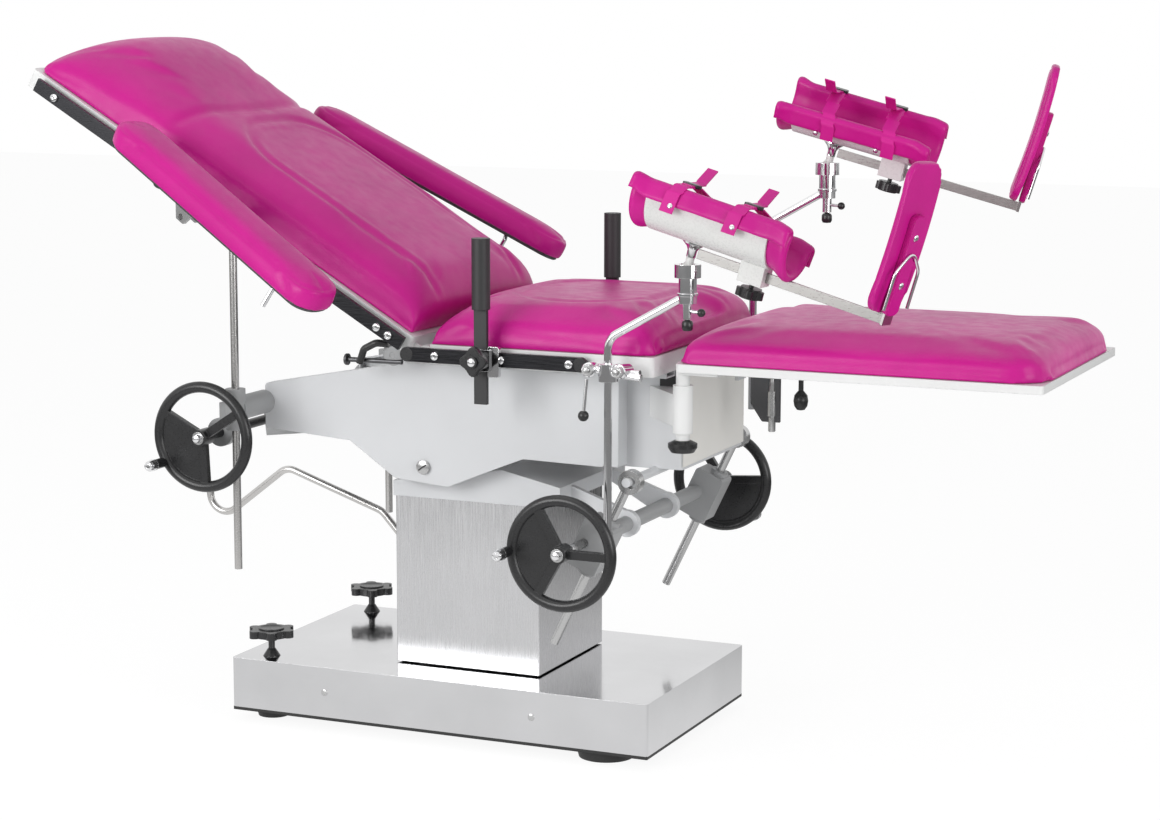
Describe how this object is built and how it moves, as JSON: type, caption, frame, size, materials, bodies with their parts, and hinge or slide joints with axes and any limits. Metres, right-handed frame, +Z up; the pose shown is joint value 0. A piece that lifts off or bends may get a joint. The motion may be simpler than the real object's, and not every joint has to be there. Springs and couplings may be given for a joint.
{
  "type": "obstetric delivery table",
  "caption": "Height-adjustable obstetric delivery table with lifting back section, swing-away leg section, armrests, hand grips and adjustable leg supports on a boxed steel base.",
  "frame": {"origin": "on the floor, below the middle of the table's overall length and width, with the table standing on its feet", "axes": "+X towards the foot end along the table, +Y towards the far side, -Y the near side with the head-end hand wheel, +Z up"},
  "size_m": [1.9096, 1.0552, 1.2527],
  "materials": {
    "mirror_stainless": "bright stainless sheet",
    "brushed_stainless": "brushed stainless",
    "bright_steel": "ground steel",
    "dull_steel": "dark painted steel",
    "light_gray_paint": "satin light gray paint",
    "gray_paint": "satin gray paint",
    "white_paint": "satin white paint",
    "white_shell": "moulded plastic shell",
    "magenta_leather": "smooth artificial leather",
    "black_plastic": "moulded black plastic",
    "rubber_black": "black rubber feet and trim",
    "chrome": "chrome plated steel"
  },
  "bodies": {
    "base": {"base_cover": "mirror_stainless", "base_plate": "rubber_black", "inner_column": "bright_steel", "lift_cylinder": "bright_steel"},
    "near_floor_lock": {"near_floor_lock": "black_plastic"},
    "far_floor_lock": {"far_floor_lock": "black_plastic"},
    "column": {"column_sleeve": "brushed_stainless", "saddle": "light_gray_paint", "lift_ram": "bright_steel"},
    "pump_lever": {"pump_lever": "brushed_stainless"},
    "table": {"near_side_plate": "light_gray_paint", "far_side_plate": "light_gray_paint", "frame_beams": "gray_paint", "tilt_shaft": "bright_steel", "end_box": "light_gray_paint", "seat_pan": "white_paint", "seat_cushion": "magenta_leather", "seat_rails": "brushed_stainless", "rail_clamps": "brushed_stainless", "head_casting": "gray_paint", "leg_hinge_bracket": "gray_paint"},
    "jack": {"tilt_gearboxes": "gray_paint"},
    "jack_screws": {"near_tilt_screw": "bright_steel", "far_tilt_screw": "bright_steel"},
    "tilt_wheels": {"tilt_wheels": "black_plastic"},
    "near_crank_handle": {"near_crank_handle": "chrome"},
    "far_crank_handle": {"far_crank_handle": "chrome"},
    "back": {"back_pan": "white_paint", "back_cushion": "magenta_leather", "back_rails": "brushed_stainless", "back_fork": "dull_steel"},
    "back_lead_screw": {"back_lead_screw": "bright_steel"},
    "back_nut": {"back_nut": "dull_steel"},
    "back_wheel": {"back_wheel": "black_plastic"},
    "back_crank_handle": {"back_crank_handle": "chrome"},
    "leg": {"leg_pan": "white_paint", "leg_cushion": "magenta_leather"},
    "leg_swing_knob": {"leg_swing_knob": "black_plastic"},
    "near_armrest_post": {"near_armrest_post": "chrome"},
    "near_armrest_pad": {"near_armrest_pad": "magenta_leather"},
    "near_hand_grip": {"near_hand_grip": "black_plastic"},
    "near_grip_knob": {"near_grip_knob": "black_plastic"},
    "near_leg_rod": {"near_leg_rod": "chrome"},
    "near_leg_swivel_collar": {"near_leg_swivel_collar": "chrome"},
    "near_leg_rest": {"near_leg_rest": "white_shell", "near_leg_calf_pad": "magenta_leather"},
    "near_leg_foot_bar": {"near_leg_foot_bar": "brushed_stainless", "near_leg_foot_pad": "magenta_leather"},
    "near_leg_star_knob": {"near_leg_star_knob": "black_plastic"},
    "far_armrest_post": {"far_armrest_post": "chrome"},
    "far_armrest_pad": {"far_armrest_pad": "magenta_leather"},
    "far_hand_grip": {"far_hand_grip": "black_plastic"},
    "far_grip_knob": {"far_grip_knob": "black_plastic"},
    "far_leg_rod": {"far_leg_rod": "chrome"},
    "far_leg_swivel_collar": {"far_leg_swivel_collar": "chrome"},
    "far_leg_rest": {"far_leg_rest": "white_shell", "far_leg_calf_pad": "magenta_leather"},
    "far_leg_foot_bar": {"far_leg_foot_bar": "brushed_stainless", "far_leg_foot_pad": "magenta_leather"},
    "far_leg_star_knob": {"far_leg_star_knob": "black_plastic"}
  },
  "joints": [
    {"name": "near_lock_turn", "type": "hinge", "parent": "base", "child": "near_floor_lock", "pos_m": [-0.4932, -0.196, 0.15], "axis": [0, 0, 1], "continuous": true},
    {"name": "far_lock_turn", "type": "hinge", "parent": "base", "child": "far_floor_lock", "pos_m": [-0.4932, 0.196, 0.15], "axis": [0, 0, 1], "continuous": true},
    {"name": "column_lift", "type": "slide", "parent": "base", "child": "column", "axis": [0, 0, 1], "range_m": [0, 0.24]},
    {"name": "pump_swing", "type": "hinge", "parent": "column", "child": "pump_lever", "pos_m": [-0.2832, 0.075, 0.22], "axis": [0, 1, 0], "range_deg": [-12, 8]},
    {"name": "table_tilt", "type": "hinge", "parent": "column", "child": "table", "pos_m": [-0.1777, 0, 0.495], "axis": [0, -1, 0], "range_deg": [-5, 10]},
    {"name": "jack_swing", "type": "hinge", "parent": "column", "child": "jack", "pos_m": [0.1748, 0, 0.404], "axis": [0, -1, 0], "range_deg": [-7.5, 14]},
    {"name": "jack_slide", "type": "slide", "parent": "jack", "child": "jack_screws", "axis": [0.4321, 0, 0.9018], "range_m": [-0.032, 0.063]},
    {"name": "tilt_wheel_turn", "type": "hinge", "parent": "jack", "child": "tilt_wheels", "pos_m": [0.1748, 0, 0.404], "axis": [0, -1, 0], "continuous": true},
    {"name": "near_crank_spin", "type": "hinge", "parent": "tilt_wheels", "child": "near_crank_handle", "pos_m": [0.0848, -0.42, 0.404], "axis": [0, 1, 0], "continuous": true},
    {"name": "far_crank_spin", "type": "hinge", "parent": "tilt_wheels", "child": "far_crank_handle", "pos_m": [0.22513, 0.42, 0.32939], "axis": [0, 1, 0], "continuous": true},
    {"name": "back_lift", "type": "hinge", "parent": "table", "child": "back", "pos_m": [-0.1482, 0, 0.706], "axis": [0, 1, 0], "range_deg": [-30.4, 39.6]},
    {"name": "nut_travel", "type": "slide", "parent": "table", "child": "back_nut", "axis": [0.9925, 0, 0.1219], "range_m": [-0.086, 0.066]},
    {"name": "lead_screw_turn", "type": "hinge", "parent": "table", "child": "back_lead_screw", "pos_m": [-0.5452, 0, 0.546], "axis": [0.9925, 0, 0.1219], "continuous": true},
    {"name": "back_wheel_turn", "type": "hinge", "parent": "table", "child": "back_wheel", "pos_m": [-0.5452, 0, 0.546], "axis": [0, 1, 0], "continuous": true},
    {"name": "back_crank_spin", "type": "hinge", "parent": "back_wheel", "child": "back_crank_handle", "pos_m": [-0.62068, -0.376, 0.49698], "axis": [0, 1, 0], "continuous": true},
    {"name": "leg_swing", "type": "hinge", "parent": "table", "child": "leg", "pos_m": [0.3308, -0.226, 0.64], "axis": [0, 0, -1], "range_deg": [0, 90]},
    {"name": "leg_knob_turn", "type": "hinge", "parent": "leg", "child": "leg_swing_knob", "pos_m": [0.3308, -0.226, 0.574], "axis": [0, 0, 1], "continuous": true},
    {"name": "near_armrest_height", "type": "slide", "parent": "table", "child": "near_armrest_post", "axis": [0, 0, 1], "range_m": [-0.06, 0.12]},
    {"name": "near_armrest_slope", "type": "hinge", "parent": "near_armrest_post", "child": "near_armrest_pad", "pos_m": [-0.5032, -0.292, 0.945], "axis": [0.2924, 0.9563, 0], "range_deg": [-28.5, 10]},
    {"name": "near_grip_height", "type": "slide", "parent": "table", "child": "near_hand_grip", "axis": [0, 0, 1], "range_m": [-0.06, 0.05]},
    {"name": "near_grip_knob_turn", "type": "hinge", "parent": "table", "child": "near_grip_knob", "pos_m": [-0.0172, -0.3, 0.709], "axis": [0, 1, 0], "continuous": true},
    {"name": "far_armrest_height", "type": "slide", "parent": "table", "child": "far_armrest_post", "axis": [0, 0, 1], "range_m": [-0.06, 0.12]},
    {"name": "far_armrest_slope", "type": "hinge", "parent": "far_armrest_post", "child": "far_armrest_pad", "pos_m": [-0.5032, 0.292, 0.945], "axis": [-0.2924, 0.9563, 0], "range_deg": [-28.5, 10]},
    {"name": "far_grip_height", "type": "slide", "parent": "table", "child": "far_hand_grip", "axis": [0, 0, 1], "range_m": [-0.06, 0.05]},
    {"name": "far_grip_knob_turn", "type": "hinge", "parent": "table", "child": "far_grip_knob", "pos_m": [-0.0172, 0.3, 0.709], "axis": [0, 1, 0], "continuous": true},
    {"name": "near_leg_height", "type": "slide", "parent": "table", "child": "near_leg_rod", "axis": [0, 0, 1], "range_m": [-0.012, 0.15]},
    {"name": "near_leg_swivel", "type": "hinge", "parent": "near_leg_rod", "child": "near_leg_swivel_collar", "pos_m": [0.3668, -0.3, 0.884], "axis": [0, 0, 1], "range_deg": [-30, 30]},
    {"name": "near_leg_slope", "type": "hinge", "parent": "near_leg_swivel_collar", "child": "near_leg_rest", "pos_m": [0.3668, -0.3, 0.884], "axis": [0.0872, 0.9962, 0], "range_deg": [-30, 20]},
    {"name": "near_foot_bar_reach", "type": "slide", "parent": "near_leg_rest", "child": "near_leg_foot_bar", "axis": [0.9623, -0.0842, -0.2588], "range_m": [0, 0.07]},
    {"name": "near_star_knob_turn", "type": "hinge", "parent": "near_leg_rest", "child": "near_leg_star_knob", "pos_m": [0.48009, -0.30991, 0.85249], "axis": [0.2578, -0.0226, 0.9659], "continuous": true},
    {"name": "far_leg_height", "type": "slide", "parent": "table", "child": "far_leg_rod", "axis": [0, 0, 1], "range_m": [-0.14, 0.04]},
    {"name": "far_leg_swivel", "type": "hinge", "parent": "far_leg_rod", "child": "far_leg_swivel_collar", "pos_m": [0.4048, 0.3, 1.017], "axis": [0, 0, 1], "range_deg": [-30, 30]},
    {"name": "far_leg_slope", "type": "hinge", "parent": "far_leg_swivel_collar", "child": "far_leg_rest", "pos_m": [0.4048, 0.3, 1.017], "axis": [-0.0872, 0.9962, 0], "range_deg": [-30, 20]},
    {"name": "far_foot_bar_reach", "type": "slide", "parent": "far_leg_rest", "child": "far_leg_foot_bar", "axis": [0.9623, 0.0842, -0.2588], "range_m": [0, 0.07]},
    {"name": "far_star_knob_turn", "type": "hinge", "parent": "far_leg_rest", "child": "far_leg_star_knob", "pos_m": [0.51809, 0.30991, 0.98549], "axis": [0.2578, 0.0226, 0.9659], "continuous": true}
  ],
  "couplings": [
    {"joint": "jack_swing", "follows": "table_tilt", "ratio": 1.3355},
    {"joint": "jack_slide", "follows": "table_tilt", "m_per_rad": 0.3502},
    {"joint": "nut_travel", "follows": "back_lift", "m_per_rad": -0.1218},
    {"joint": "lead_screw_turn", "follows": "back_lift", "ratio": 76.5},
    {"joint": "back_wheel_turn", "follows": "back_lift", "ratio": 76.5},
    {"joint": "tilt_wheel_turn", "follows": "table_tilt", "ratio": 220}
  ]
}
